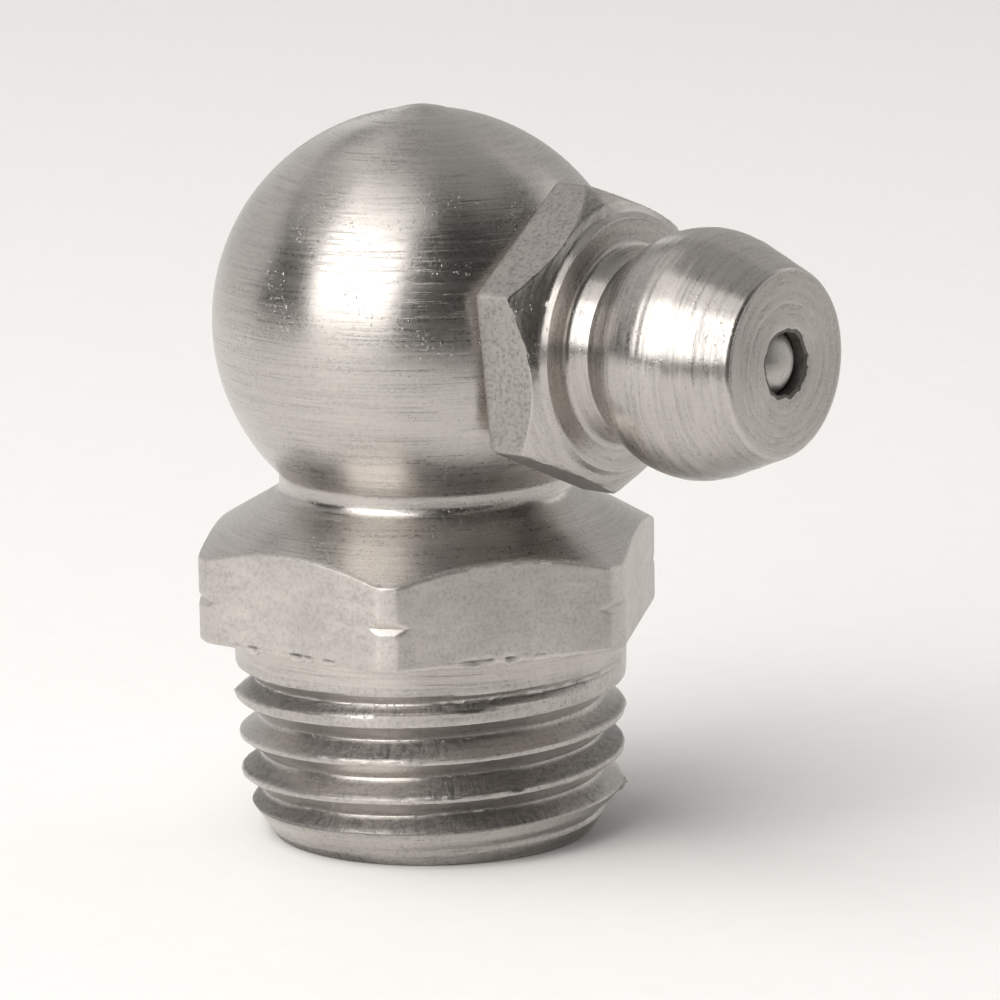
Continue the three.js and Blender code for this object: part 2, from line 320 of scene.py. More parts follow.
def thread_depth(turns, thread):
    """How far below the crest a thread is, at a distance in pitches from a crest's centre."""
    crest, root, pitch = (thread[k] for k in ("crest", "root", "pitch"))
    flank = (pitch - crest - root) / 2
    away = np.abs((turns + 0.5) % 1 - 0.5) * pitch
    share = (away - crest / 2) / flank
    lower = (share + np.sqrt(share**2 + CREST_SOFTNESS**2 / 4)) / 2
    upper = 1 - lower
    return thread["depth"] * (1 - (upper + np.sqrt(upper**2 + ROOT_SOFTNESS**2 / 4)) / 2)


def add_thread(turning, thread, bottom, top, radius_at, finish, run_out=None, steps=16, torn=0.0):
    """Rows that follow the helix from one height to another, so that ridges run along them.

    Between the two heights of run_out the groove grows shallow until it is gone. The crests get a
    wear value that lightens them, partly wear and partly a painted highlight. With torn, the
    upper flanks and the crests are rough by about that much, and torn steel has a wear below zero.
    """
    pitch, phase = thread["pitch"], thread["phase"]
    angles = turning.angles
    first = math.floor((bottom - phase) / pitch - 1.5)
    last = math.ceil((top - phase) / pitch + 0.5)
    for i in range((last - first) * steps + 1):
        place_on_helix = phase + (first + i / steps) * pitch
        free = place_on_helix + pitch * (angles - angles[0]) / TAU
        z = np.clip(free, bottom, top)
        turns = (z - phase) / pitch - (angles - angles[0]) / TAU
        depth = thread_depth(turns, thread)
        if run_out is not None:
            groove = z + (np.floor(turns) + 0.5 - turns) * pitch
            share = np.clip((run_out[1] - groove) / (run_out[1] - run_out[0]), 0, 1)
            depth = np.maximum(depth - (1 - share) * thread["depth"], 0)
        deep = depth / thread["depth"]
        crest = 1 - deep
        radius = radius_at(z) - depth
        # The crests are lightened through the wear value: partly wear, partly a painted highlight where
        # burrs catch the light
        wear = crest
        if torn:
            above = (turns + 0.5) % 1 - 0.5
            flank = np.clip(deep * 6, 0, 1) * np.clip(above * 8, 0, 1) * np.clip(crest * 5, 0, 1)
            patch = np.clip(0.6 + ragged(angles, z, frequency=6, seed=8.7), 0.15, 1)
            near_crest = np.clip(crest * 2 - 1, 0, 1) * np.clip(depth * 40 + 0.1, 0, 1)
            rough = ragged(angles, z, frequency=150, seed=3.1) * (0.9 * near_crest + 0.45 * flank)
            radius = radius + torn * rough * patch
            # Crests lightened as above, partly a painted highlight; torn upper flanks darkened as torn
            # steel
            wear = np.where(flank > 0.02, -flank * patch, crest * np.clip(depth * 30, 0.15, 1))
        turning.add(radius, z, finish, along=turns * pitch, wear=wear)


# ---------------------------------------------------------------- materials


class Nodes:
    """A short way to write a material's node tree."""

    def __init__(self, name):
        self.material = bpy.data.materials.new(name)
        self.material.use_nodes = True
        self.tree = self.material.node_tree
        self.shader = self.tree.nodes["Principled BSDF"]

    def new(self, kind, **settings):
        node = self.tree.nodes.new("ShaderNode" + kind)
        for key, value in settings.items():
            setattr(node, key, value)
        return node

    def link(self, a, b):
        self.tree.links.new(a, b)

    def scaled(self, source, scale):
        node = self.new("VectorMath", operation="MULTIPLY")
        self.link(source, node.inputs[0])
        node.inputs[1].default_value = scale
        return node.outputs[0]

    def noise(self, vector, scale, detail=3.0, roughness=0.55, distortion=0.0):
        node = self.new("TexNoise")
        self.link(vector, node.inputs["Vector"])
        node.inputs["Scale"].default_value = scale
        node.inputs["Detail"].default_value = detail
        node.inputs["Roughness"].default_value = roughness
        node.inputs["Distortion"].default_value = distortion
        return node.outputs["Fac"]

    def remap(self, value, low, high, to_low, to_high):
        node = self.new("MapRange")
        self.link(value, node.inputs["Value"])
        for key, number in (("From Min", low), ("From Max", high), ("To Min", to_low), ("To Max", to_high)):
            node.inputs[key].default_value = number
        return node.outputs["Result"]

    def math(self, operation, a, b):
        node = self.new("Math", operation=operation)
        for socket, value in zip(node.inputs, (a, b)):
            if isinstance(value, (int, float)):
                socket.default_value = value
            else:
                self.link(value, socket)
        return node.outputs[0]

    def mix(self, factor, a, b, blend="MIX"):
        node = self.new("Mix", data_type="RGBA", blend_type=blend)
        if isinstance(factor, (int, float)):
            node.inputs["Factor"].default_value = factor
        else:
            self.link(factor, node.inputs["Factor"])
        for socket, value in ((node.inputs["A"], a), (node.inputs["B"], b)):
            if isinstance(value, tuple):
                socket.default_value = (*value, 1)
            else:
                self.link(value, socket)
        return node.outputs["Result"]

    def bump(self, height, distance, normal=None):
        node = self.new("Bump")
        node.inputs["Distance"].default_value = distance
        self.link(height, node.inputs["Height"])
        if normal is not None:
            self.link(normal, node.inputs["Normal"])
        return node.outputs["Normal"]


# Tones of a steel, as shares of its colour
# EDGE_TONE lightens worn edges; on the thread's crests and the hexagon's burred lip it is partly a painted
# highlight
EDGE_TONE = 1.3
LIGHT_TONE = 1.16
DARK_TONE = 0.72
# TORN_AND_SHADE_TONE darkens torn steel; in the recess above the hexagon's burred lip it is painted shade
# as well
TORN_AND_SHADE_TONE = 0.5
DEEP_TONE = 0.3

# Sizes of patches and specks, as noise scales per metre
CLOUD_SCALE = 450
SCRATCH_PATCH_SCALE = 420
CRACK_PATCH_SCALE = 520
GLINT_SCALE = 13000
GLINT_CLUSTER_SCALE = 800
SPECK_SCALE = 9000

SCRATCH_DEPTH = 4.5e-6
RADIAL_ROTATION = 0.25


def tone(colour, share):
    return tuple(min(1.0, c * share) for c in colour)


def scratch_marks(n, turn, place_in_object, streak, lines_per_mm):
    """Long scratches round the axis, in patches."""
    scale = (streak * 0.55, streak * 0.55, lines_per_mm * 0.6)
    mark = n.noise(n.scaled(turn, scale), 1.0, detail=5, roughness=0.65)
    mark = n.remap(mark, 0.54, 0.7, 0.0, 1.0)
    patch = n.remap(n.noise(place_in_object, SCRATCH_PATCH_SCALE, detail=3), 0.42, 0.62, 0.12, 1.0)
    return n.math("MULTIPLY", mark, patch)


def glint_marks(n, place_in_object):
    """Clusters of tiny bumps that catch the light."""
    glint = n.remap(n.noise(place_in_object, GLINT_SCALE, detail=1), 0.64, 0.74, 0.0, 1.0)
    cluster = n.remap(n.noise(place_in_object, GLINT_CLUSTER_SCALE, detail=2), 0.48, 0.62, 0.0, 1.0)
    return n.math("MULTIPLY", glint, cluster)


def tear_and_shade(n, turn, wear, place_in_object, colour, base, rough, normal, height):
    """Torn steel where wear is below zero: dark, chipped, and cracked across the tool's lines. In the
    recess above the hexagon's burred lip, the dark tone is painted shade as well.
    """
    deep = tone(colour, DEEP_TONE)
    torn = n.remap(wear, -0.05, -0.7, 0.0, 1.0)
    across = n.noise(n.scaled(turn, (58.0, 58.0, 4.5)), 1.0, detail=4, roughness=0.6, distortion=0.9)
    chips = n.noise(n.scaled(turn, (20.0, 20.0, 15.0)), 1.0, detail=5, roughness=0.72, distortion=0.3)
    patch = n.remap(n.noise(place_in_object, CRACK_PATCH_SCALE, detail=2), 0.42, 0.56, 0.15, 1.0)
    crack = n.math("MULTIPLY", n.remap(across, 0.48, 0.38, 0.0, 0.95), torn)
    crack = n.math("MULTIPLY", crack, patch)
    # Torn steel darkened; in the recess above the hexagon's burred lip this is painted shade as well
    base = n.mix(n.math("MULTIPLY", torn, 0.85), base, tone(colour, TORN_AND_SHADE_TONE))
    base = n.mix(n.math("MULTIPLY", n.remap(chips, 0.45, 0.62, 0.0, 0.75), torn), base, deep)
    base = n.mix(crack, base, deep)
    rough = n.math("ADD", rough, n.math("MULTIPLY", torn, 0.12))
    tearing = n.math("MULTIPLY", n.math("ADD", n.math("MULTIPLY", across, patch), chips), torn)
    return base, rough, n.bump(tearing, height, normal)


def steel(name, axis, colour, roughness, anisotropy, lines_per_mm, line_height, streak,
          speck_scale=SPECK_SCALE, speck_height=2e-6, speck_share=0.5, mottle=0.25, pits=0.0,
          scratches=0.0, glints=0.0, cracks=0.0):
    """Machined steel: lines that run round the axis, a fine grain, broad mottling and bright edges.

    roughness is (smoothest, roughest). speck_share, mottle, pits and scratches are shares of a tone.
    line_height, speck_height, glints and cracks are heights of bumps in metres.
    """
    n = Nodes(name)
    turn = n.new("Attribute", attribute_name="turn").outputs["Vector"]
    wear = n.new("Attribute", attribute_name="wear").outputs["Fac"]
    place_in_object = n.new("TexCoord").outputs["Object"]
    fine = n.noise(n.scaled(turn, (streak, streak, lines_per_mm)), 1.0, detail=4, roughness=0.6)
    broad = n.noise(n.scaled(turn, (streak / 3, streak / 3, lines_per_mm / 6)), 1.0, detail=2)
    grain = n.noise(place_in_object, speck_scale, detail=3, roughness=0.65)
    cloud = n.noise(place_in_object, CLOUD_SCALE, detail=4, roughness=0.6)
    lines = n.math("ADD", n.math("MULTIPLY", fine, 0.7), n.math("MULTIPLY", broad, 0.3))
    dark = tone(colour, DARK_TONE)
    light = tone(colour, LIGHT_TONE)
    deep = tone(colour, DEEP_TONE)
    base = n.mix(n.remap(lines, 0.3, 0.7, 0.0, 1.0), dark, light)
    base = n.mix(n.remap(grain, 0.35, 0.65, 0.0, speck_share), base, light)
    base = n.mix(n.remap(cloud, 0.4, 0.75, 0.0, mottle), base, dark)
    rough = n.remap(n.math("ADD", lines, n.math("MULTIPLY", grain, 0.6)), 0.5, 1.1, *roughness)
    normal = n.bump(lines, line_height)
    normal = n.bump(grain, speck_height, normal)
    if pits:
        base = n.mix(n.remap(grain, 0.5, 0.3, 0.0, pits), base, deep)
    if scratches:
        mark = scratch_marks(n, turn, place_in_object, streak, lines_per_mm)
        base = n.mix(n.math("MULTIPLY", mark, scratches), base, deep)
        normal = n.bump(mark, -SCRATCH_DEPTH, normal)
    if glints:
        normal = n.bump(glint_marks(n, place_in_object), glints, normal)
    if cracks:
        base, rough, normal = tear_and_shade(n, turn, wear, place_in_object, colour, base, rough, normal, cracks)
    # Edges lighten where the wear value is above zero: worn edges, and on crests and burred lips partly a
    # painted highlight
    base = n.mix(n.remap(wear, 0.0, 1.0, 0.0, 0.5), base, tone(colour, EDGE_TONE))
    tangent = n.new("Tangent", direction_type="RADIAL", axis=axis)
    n.link(base, n.shader.inputs["Base Color"])
    n.link(rough, n.shader.inputs["Roughness"])
    n.link(normal, n.shader.inputs["Normal"])
    n.link(tangent.outputs[0], n.shader.inputs["Tangent"])
    n.shader.inputs["Metallic"].default_value = 1.0
    n.shader.inputs["Anisotropic"].default_value = anisotropy
    n.shader.inputs["Anisotropic Rotation"].default_value = RADIAL_ROTATION
    return n.material


WARM_STEEL = (0.535, 0.508, 0.48)
BRIGHT_STEEL = (0.63, 0.598, 0.565)
PALE_STEEL = (0.505, 0.479, 0.452)
DULL_STEEL = (0.41, 0.389, 0.367)
# A lighter copy of the turned steel for the plain collar: a painted highlight
COLLAR_HIGHLIGHT_STEEL = (0.59, 0.558, 0.525)
# Painted shade: the bores' steels are dark to stand for the shade inside the holes
SHADED_BORE_STEEL = (0.10, 0.093, 0.086)
SHADED_MOUTH_STEEL = (0.19, 0.178, 0.165)
BALL_STEEL = (0.62, 0.595, 0.565)
WIRE_STEEL = (0.5, 0.485, 0.465)

# The finishes of a turned piece, as places in its list of steels. The bore's finish is darkened: painted
# shade inside the holes
TURNED, DRAWN, THREAD, SHADED_BORE, LIT_COLLAR = range(5)
elbow_steels = [
    steel("elbow_turned", "Z", WARM_STEEL, roughness=(0.22, 0.36), anisotropy=0.6, lines_per_mm=20,
          line_height=4e-6, streak=2.6, scratches=0.42, glints=9e-6),
    # The drawn steel's torn tone also paints shade in the recess above the hexagon's burred lip
    steel("elbow_drawn", "Z", BRIGHT_STEEL, roughness=(0.4, 0.55), anisotropy=0.2, lines_per_mm=4,
          line_height=1e-6, streak=9, speck_scale=11000, speck_height=6e-6, mottle=0.5, pits=0.2,
          cracks=2e-5),
    steel("elbow_thread", "Z", WARM_STEEL, roughness=(0.24, 0.4), anisotropy=0.6, lines_per_mm=16,
          line_height=7e-6, streak=4, speck_height=5e-6, mottle=0.5, pits=0.35, scratches=0.4,
          glints=1.6e-5, cracks=2.5e-5),
    # Painted shade inside the passage and the tapped hole: the bore's steel is dark
    steel("elbow_bore_shaded", "Z", SHADED_BORE_STEEL, roughness=(0.45, 0.6), anisotropy=0.4, lines_per_mm=14,
          line_height=6e-6, streak=4, mottle=0.6),
    # The collar's lighter steel is a painted highlight
    steel("elbow_collar_lit", "Z", COLLAR_HIGHLIGHT_STEEL, roughness=(0.26, 0.4), anisotropy=0.5, lines_per_mm=16,
          line_height=4e-6, streak=3, mottle=0.4, scratches=0.5, glints=1.2e-5),
]
nipple_steels = [
    steel("nipple_turned", "X", PALE_STEEL, roughness=(0.22, 0.36), anisotropy=0.6, lines_per_mm=13,
          line_height=5e-6, streak=2.4, scratches=0.35, glints=6e-6),
    steel("nipple_drawn", "X", DULL_STEEL, roughness=(0.42, 0.6), anisotropy=0.2, lines_per_mm=5,
          line_height=1e-6, streak=9, speck_scale=10500, speck_height=1.3e-5, speck_share=0.8,
          mottle=0.6, pits=0.45),
    steel("nipple_thread", "X", PALE_STEEL, roughness=(0.28, 0.45), anisotropy=0.5, lines_per_mm=20,
          line_height=6e-6, streak=6),
    # Painted shade inside the mouth, seat and chamber: the bore's steel is dark
    steel("nipple_bore_shaded", "X", SHADED_MOUTH_STEEL, roughness=(0.5, 0.65), anisotropy=0.4, lines_per_mm=12,
          line_height=6e-6, streak=4, mottle=0.6),
]
ball_steel = steel("check_ball_steel", "X", BALL_STEEL, roughness=(0.45, 0.62), anisotropy=0.0,
                   lines_per_mm=14, line_height=2e-6, streak=8, speck_height=3e-6, speck_share=0.3)
wire_steel = steel("spring_wire", "X", WIRE_STEEL, roughness=(0.25, 0.4), anisotropy=0.3,
                   lines_per_mm=12, line_height=3e-6, streak=20)

# ---------------------------------------------------------------- elbow


def arc(centre_radius, centre_height, radius, start, end, steps):
    for i in range(steps + 1):
        angle = start + (end - start) * i / steps
        yield centre_radius + radius * math.cos(angle), centre_height + radius * math.sin(angle)


def crest_radius(z):
    """The radius over the taper thread's crests, which the collar carries on."""
    return SHANK_END_RADIUS + z * SHANK_TAPER


def add_passage(t):
    """The drilled passage, from its point down to its countersink in the end face."""
    t.add(0, BALL_HEIGHT + PASSAGE_RADIUS * DRILL_POINT_SLOPE, SHADED_BORE)
    for z in np.linspace(BALL_HEIGHT, COUNTERSINK, 8):
        t.add(PASSAGE_RADIUS, z, SHADED_BORE)
    t.add(PASSAGE_RADIUS + BEVEL, COUNTERSINK - 2 * BEVEL, SHADED_BORE, wear=0.6)
    t.add(PASSAGE_RADIUS + COUNTERSINK - BEVEL, BEVEL, SHADED_BORE)
    t.add(PASSAGE_RADIUS + COUNTERSINK + BEVEL, 0, TURNED, wear=0.5)


def add_shank(t):
    """End face, taper thread with its lead-in and its burrs, and plain collar."""
    for radius in np.linspace(PASSAGE_RADIUS + 0.4, LEAD_IN_RADIUS - 0.15, 5):
        t.add(radius, 0, TURNED, along=radius)
    t.add(LEAD_IN_RADIUS - 0.05, 0, TURNED, along=LEAD_IN_RADIUS, wear=0.5)
    start = len(t.radius)
    add_thread(t, SHANK_THREAD, THREAD_START, COLLAR_START, crest_radius, THREAD,
               run_out=THREAD_RUN_OUT, torn=THREAD_TEAR)
    for i in range(start, len(t.radius)):
        z = t.height[i]
        near_crest = np.clip(1.5 - (crest_radius(z) - t.radius[i]) * 5, 0, 1)
        lead_in = LEAD_IN_RADIUS + z / LEAD_IN_HEIGHT * (SHANK_END_RADIUS - LEAD_IN_RADIUS)
        t.radius[i] = soft_min(t.radius[i], lead_in, 0.03)
        uneven = 0.8 + 0.45 * ragged(t.angles, z, frequency=210, seed=5.5)
        for degrees, height, size in TORN_CRESTS:
            aside = away_from(t.angles, degrees) / TORN_CREST_DEGREES
            above = (z - height) / TORN_CREST_HEIGHT
            spot = np.exp(-(aside**2) - above**2) * near_crest
            t.radius[i] = t.radius[i] + size * spot * uneven
    fillet = COLLAR_FILLET
    # The plain collar takes the lighter steel, a painted highlight
    for z in np.linspace(COLLAR_START + 0.05, SHANK_LENGTH - fillet, 4):
        t.add(crest_radius(z), z, LIT_COLLAR)
    centre_radius = crest_radius(SHANK_LENGTH) + fillet
    for r, z in arc(centre_radius, SHANK_LENGTH - fillet, fillet, math.pi, math.pi / 2, 3):
        t.add(r, z, TURNED, along=r + z)


def hex_burrs(angles, outline):
    """How burred the hexagon's lower edge is at each angle, from 0 to 1."""
    patch = np.zeros(len(angles))
    for degrees, reach in UNDER_BURRS:
        patch += np.clip(1.6 - np.abs(away_from(angles, degrees)) / reach * 1.6, 0, 1)
    patch = patch * np.clip((6.0 - outline) / 0.2, 0.2, 1)
    return patch * np.clip(0.5 + 1.1 * ragged(angles, 0, frequency=150, seed=1.7), 0, 1)


def add_hexagon(t, outline):
    """Underside, burred lower edge, flats with grooved corners, and the edge of the shoulder."""
    inner = crest_radius(SHANK_LENGTH) + COLLAR_FILLET
    for share in (0.2, 0.5, 0.8, 0.97):
        r = inner + (outline - HEX_UNDERSIDE_INSET - inner) * share
        t.add(r, SHANK_LENGTH, TURNED, along=r)
    burr = hex_burrs(t.angles, outline)
    # A full burr pushes the lip out and lightens it, partly a painted highlight, and sinks and darkens the
    # rows above it, painted shade as well as torn steel
    for inset, burr_inset, rise, burr_rise, wear, burr_wear_light_and_shade in HEX_LOWER_EDGE:
        r = outline - inset - burr_inset * burr
        z = SHANK_LENGTH + rise + burr_rise * burr
        t.add(r, z, DRAWN, wear=wear + burr_wear_light_and_shade * burr)
    corner_wear = np.clip((outline - 6.1) / 0.1, 0, 1) * 0.12
    groove_low = GROOVE_HEIGHT - GROOVE_HALF_WIDTH
    groove_high = GROOVE_HEIGHT + GROOVE_HALF_WIDTH
    for z in np.linspace(SHANK_LENGTH + 0.3, groove_low - 0.03, 5):
        t.add(outline, z, DRAWN, wear=corner_wear)
    for z in np.linspace(groove_low, groove_high, 17):
        groove = GROOVE_ROOT_RADIUS + abs(z - GROOVE_HEIGHT) * GROOVE_SLOPE
        grooved = soft_min(outline, groove, 0.012)
        inside = np.clip((outline - groove) / 0.02, 0, 1)
        t.add(grooved, z, DRAWN, wear=np.maximum(corner_wear, 0.8 * inside))
    edge = HEX_CORNER_TOP + (HEX_CORNER_RADIUS - outline) * SHOULDER_SLOPE
    for share in (0.06, 0.25, 0.5, 0.75, 0.93):
        z = groove_high + (edge - 0.05 - groove_high) * share
        t.add(outline, z, DRAWN, wear=corner_wear)
    burr = 0.012 * ragged(t.angles, 3, frequency=120, seed=6.4)
    t.add(outline, edge - 0.035, DRAWN, wear=0.4)
    t.add(outline - 0.012 + burr, edge - 0.012, DRAWN, wear=0.9)
    along = edge / math.sin(SHOULDER_LEAN)
    t.add(outline - BEVEL, edge + 0.004 + 0.3 * burr, TURNED, along=along, wear=0.6)


def add_shoulder_and_ball(t, outline):
    """Conical shoulder, neck, and ball with its scribed rings and the pip on top."""
    fillet_radius = NECK_RADIUS + NECK_FILLET
    cone = HEX_CORNER_TOP + (HEX_CORNER_RADIUS - fillet_radius) * SHOULDER_SLOPE
    fillet_height = cone + NECK_FILLET / math.cos(SHOULDER_LEAN)
    foot = fillet_radius - NECK_FILLET * math.sin(SHOULDER_LEAN)
    for share in (0.04, 0.15, 0.3, 0.45, 0.6, 0.75, 0.88):
        r = (outline - BEVEL) + (foot + BEVEL - outline) * share
        z = HEX_CORNER_TOP + (HEX_CORNER_RADIUS - r) * SHOULDER_SLOPE
        t.add(r, z, TURNED, along=(HEX_CORNER_RADIUS - r) / math.cos(SHOULDER_LEAN))
    start = -math.pi / 2 - SHOULDER_LEAN
    for r, z in arc(fillet_radius, fillet_height, NECK_FILLET, start, -math.pi, 8):
        t.add(r, z, TURNED, along=z)
    neck_top = -math.acos(NECK_RADIUS / BALL_RADIUS)
    neck_meets = BALL_HEIGHT + BALL_RADIUS * math.sin(neck_top)
    t.add(NECK_RADIUS, neck_meets - 0.05, TURNED, along=neck_meets)
    pip_base = math.acos(PIP_RADIUS / BALL_RADIUS)
    latitudes = np.concatenate([
        np.linspace(neck_top + 0.006, neck_top + 0.12, 5),
        np.linspace(neck_top + 0.16, pip_base - 0.2, 36),
        np.linspace(pip_base - 0.18, pip_base - 0.03, 18),
    ])
    ring = math.acos(RING_RADIUS / BALL_RADIUS)
    for angle in latitudes:
        scribed = 0.0
        for above, depth, width in SCRIBED_RINGS:
            scribed += depth * math.exp(-(((angle - ring - above) / width) ** 2))
        r = (BALL_RADIUS - scribed) * math.cos(angle)
        z = BALL_HEIGHT + (BALL_RADIUS - scribed) * math.sin(angle)
        t.add(r, z, TURNED, along=BALL_RADIUS * angle)
    for r in np.linspace(PIP_RADIUS + 0.12, 0.08, 12):
        uneven = r + 0.06 * ragged(t.angles, r, frequency=9, seed=2.2)
        share = np.clip((PIP_RADIUS + 0.06 - uneven) / 0.68, 0, 1)
        rise = PIP_HEIGHT * share**2 * (3 - 2 * share)
        t.add(r, BALL_HEIGHT + math.sqrt(BALL_RADIUS**2 - r**2) + rise, TURNED, along=r)
    t.add(0, BALL_HEIGHT + BALL_RADIUS + PIP_HEIGHT, TURNED, along=0)


def side_hole_cutter():
    """The tapped hole for the nipple, its drill point and its spot face, as one closed solid."""
    t = Turning(round_columns())
    t.add(0, TAP_HOLE_BOTTOM - TAP_DRILL_RADIUS * DRILL_POINT_SLOPE, SHADED_BORE)
    t.add(TAP_DRILL_RADIUS, TAP_HOLE_BOTTOM, SHADED_BORE)
    start = len(t.radius)
    grown = STEM_RADIUS + THREAD_CLEARANCE
    add_thread(t, STEM_THREAD, STEM_START - 1.5, SPOT_FACE - 0.02, lambda x: grown, SHADED_BORE, steps=12)
    for i in range(start, len(t.radius)):
        t.radius[i] = np.maximum(t.radius[i], TAP_DRILL_RADIUS)
    t.add(grown, SPOT_FACE, SHADED_BORE)
    t.add(SPOT_FACE_RADIUS, SPOT_FACE, TURNED)
    t.add(SPOT_FACE_RADIUS, BALL_RADIUS + 1, TURNED)
    t.add(0, BALL_RADIUS + 1, TURNED)
    return t.mesh("side_hole", ALONG_NIPPLE, elbow_steels)


def cut(obj, tool_mesh):
    """Takes a closed mesh out of an object and removes the mesh."""
    tool = bpy.data.objects.new("cutter", tool_mesh)
    bpy.context.scene.collection.objects.link(tool)
    modifier = obj.modifiers.new("cut", "BOOLEAN")
    modifier.operation = "DIFFERENCE"
    modifier.solver = "MANIFOLD"
    modifier.object = tool
    bpy.context.view_layer.update()
    graph = bpy.context.evaluated_depsgraph_get()
    made = bpy.data.meshes.new_from_object(
        obj.evaluated_get(graph), preserve_all_data_layers=True, depsgraph=graph
    )
    obj.modifiers.clear()
    old = obj.data
    obj.data = made
    bpy.data.meshes.remove(old)
    bpy.data.objects.remove(tool)
    bpy.data.meshes.remove(tool_mesh)


def make_elbow():
    t = Turning(hex_columns(0.0, close=0.45, wide=1.0, near=2.7))
    land = HEX_CORNER_RADIUS
    outline = soft_min(hexagon(t.angles, 0.0, HEX_HALF_FLATS), land, HEX_CORNER_SOFTNESS)
    add_passage(t)
    add_shank(t)
    add_hexagon(t, outline)
    add_shoulder_and_ball(t, outline)
    elbow = place("elbow", t.mesh("elbow", UP, elbow_steels), "fitting", "elbow_steel", "elbow_body")
    cut(elbow, side_hole_cutter())
    smooth(elbow.data)


# ---------------------------------------------------------------- nipple


def spline(points, steps):
    """A smooth curve through the points, by Catmull-Rom segments."""
    p = [np.array(points[0]) * 2 - np.array(points[1]), *map(np.array, points)]
    p.append(p[-1] * 2 - p[-2])
    for i in range(1, len(p) - 2):
        for k in range(steps):
            u = k / steps
            yield 0.5 * (2 * p[i] + (p[i + 1] - p[i - 1]) * u
                         + (2 * p[i - 1] - 5 * p[i] + 4 * p[i + 1] - p[i + 2]) * u**2
                         + (3 * p[i] - p[i - 1] - 3 * p[i + 1] + p[i + 2]) * u**3)
    yield p[-2]


def tool_marks(x):
    """The turning tool's feed marks on the head, as a depth in millimetres at a distance along it."""
    coarse = line_noise(x, 6.1, 4.1, 0.7)
    middle = line_noise(x, 13.1, 1.9, 5.3)
    feed = math.cos(TAU * x / 0.13) * (0.5 + line_noise(x, 1.7, 6.4, 2.9))
    return 0.008 * coarse + 0.004 * middle + 0.0018 * feed - 0.007


def add_stem(t):
    """Rolled-in lip of the bore, end face, and M6 thread with its chamfer and relief."""
    rear = STEM_START
    root = STEM_RADIUS - STEM_THREAD["depth"]
    t.add(LIP_RADIUS, rear + LIP_LENGTH, SHADED_BORE)
    t.add(LIP_RADIUS, rear + 0.06, SHADED_BORE)
    t.add(LIP_RADIUS + 0.05, rear, TURNED, along=LIP_RADIUS, wear=0.5)
    for r in np.linspace(LIP_RADIUS + 0.2, root - 0.04, 6):
        t.add(r, rear, TURNED, along=r)
    start = len(t.radius)
    add_thread(t, STEM_THREAD, rear + 0.01, FLANGE_BACK - 0.25, lambda x: STEM_RADIUS, THREAD)
    for i in range(start, len(t.radius)):
        t.radius[i] = soft_min(t.radius[i], root + (t.height[i] - rear), 0.02)
    t.add(root, FLANGE_BACK - 0.12, THREAD)
    t.add(root, FLANGE_BACK, TURNED)


def add_flange(t, outline):
    """The small hexagon: its back, flats with worn corners, and hollowed front cone."""
    chamfer = FLANGE_BACK_CHAMFER
    root = STEM_RADIUS - STEM_THREAD["depth"]
    for share in (0.25, 0.6, 0.95):
        r = root + (outline - 2 * chamfer - root) * share
        t.add(r, FLANGE_BACK, TURNED, along=r)
    t.add(outline - 1.8 * chamfer, FLANGE_BACK + 0.01, DRAWN, wear=0.6)
    t.add(outline - 0.4 * chamfer, FLANGE_BACK + 0.75 * chamfer, DRAWN, wear=0.5)
    t.add(outline, FLANGE_BACK + 1.4 * chamfer, DRAWN, wear=0.2)
    corner_wear = np.clip((outline - 3.9) / 0.12, 0, 1) * 0.6
    edge = FLANGE_CORNER_FRONT + (FLANGE_CORNER_RADIUS - outline)
    low = FLANGE_BACK + 0.25
    for share in np.linspace(0, 1, 9):
        t.add(outline, low + (edge - 0.04 - low) * share, DRAWN, wear=corner_wear)
    burr = 0.01 * ragged(t.angles, 3, frequency=110, seed=9.4)
    t.add(outline - 0.004 + burr, edge - 0.01, DRAWN, wear=0.9)
    t.add(outline - FLANGE_EDGE_INSET, edge + 0.01, TURNED, along=edge, wear=0.6)
    front = FLANGE_FRONT_RADIUS
    for share in (0.05, 0.15, 0.27, 0.4, 0.52, 0.62, 0.71, 0.79, 0.85, 0.9, 0.95, 0.99):
        r = outline - FLANGE_EDGE_INSET + (front - outline + FLANGE_EDGE_INSET) * share
        x = FLANGE_CORNER_FRONT + FLANGE_CORNER_RADIUS - r
        hollow = np.interp(r - front, *FLANGE_HOLLOW)
        crinkle = 0.007 * ragged(t.angles, share * 4, frequency=75, seed=5.9)
        t.add(r, x - hollow + crinkle * np.clip((r - front) * 8, 0, 1), TURNED, along=x)
    t.add(front - 0.025, FLANGE_FRONT - 0.004, TURNED, along=FLANGE_FRONT, wear=0.4)


